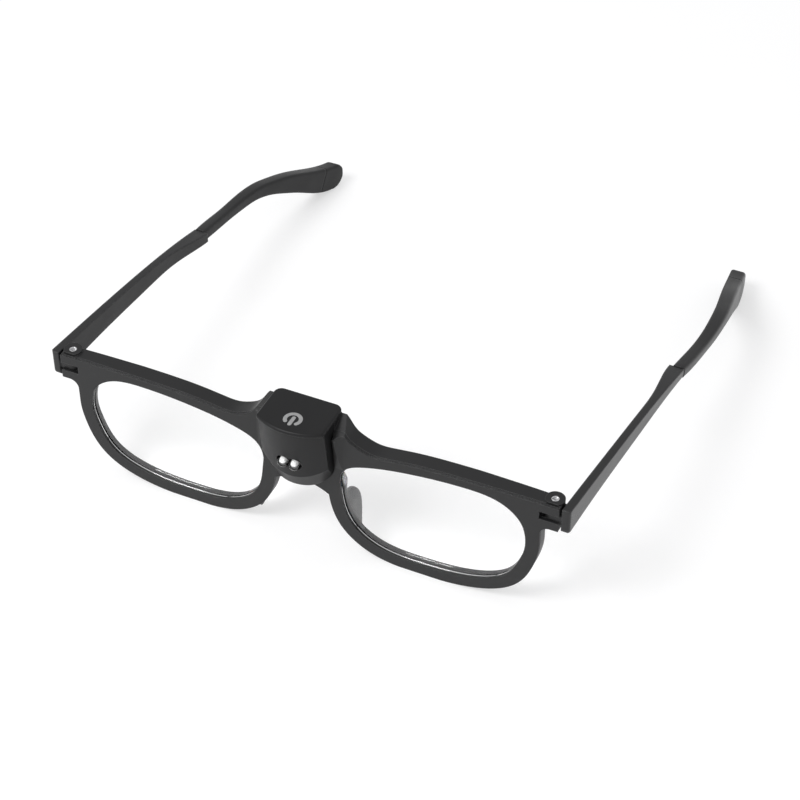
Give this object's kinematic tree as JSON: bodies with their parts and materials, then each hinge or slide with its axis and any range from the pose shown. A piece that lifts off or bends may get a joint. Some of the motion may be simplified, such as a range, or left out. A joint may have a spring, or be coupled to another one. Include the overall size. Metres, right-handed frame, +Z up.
{
  "type": "lighted magnifier glasses",
  "caption": "Glasses with clear magnifying lenses, a light box with lamps and a charging socket on the bridge, nose pads, and folding arms with soft tips.",
  "frame": {"origin": "middle of the whole object's bounding box on the surface that it stands on", "axes": "+Z up as it stands on its rims and tips, +Y from the front towards the tips of the arms, +X towards the arm on the right as seen from the front"},
  "size_m": [0.1516, 0.1572, 0.0434],
  "materials": {
    "black_plastic": "satin",
    "soft_tip": "matte",
    "lens": "polished",
    "nose_pad": "smoky, translucent",
    "screw_steel": "plated",
    "lamp_clear": "polished",
    "holder_plastic": "matt",
    "board": "gloss",
    "cell_foil": "satin",
    "socket_steel": "satin",
    "copper": "bright"
  },
  "bodies": {
    "front": {"front_plate": "black_plastic", "front_frame": "black_plastic", "light_shell": "black_plastic", "light_cover": "black_plastic", "left_lens": "lens", "right_lens": "lens", "left_nose_pad": "nose_pad", "right_nose_pad": "nose_pad", "left_hinge_screw": "screw_steel", "right_hinge_screw": "screw_steel", "left_lamp": "lamp_clear", "right_lamp": "lamp_clear", "lamp_holder": "holder_plastic", "circuit_board": "board", "charge_board": "board", "battery_cell": "cell_foil", "charge_socket": "socket_steel", "touch_pad": "copper", "touch_contact": "copper"},
    "left_temple": {"left_arm": "black_plastic", "left_tip": "soft_tip", "left_tip_cap": "soft_tip"},
    "right_temple": {"right_arm": "black_plastic", "right_tip": "soft_tip", "right_tip_cap": "soft_tip"}
  },
  "joints": [
    {"name": "right_hinge", "type": "hinge", "parent": "front", "child": "right_temple", "pos_m": [0.06542, -0.06742, 0.0337], "axis": [0, 0, 1], "range_deg": [0, 81.6]},
    {"name": "left_hinge", "type": "hinge", "parent": "front", "child": "left_temple", "pos_m": [-0.07058, -0.06742, 0.0337], "axis": [0, 0, -1], "range_deg": [-3.2, 85.4]}
  ]
}
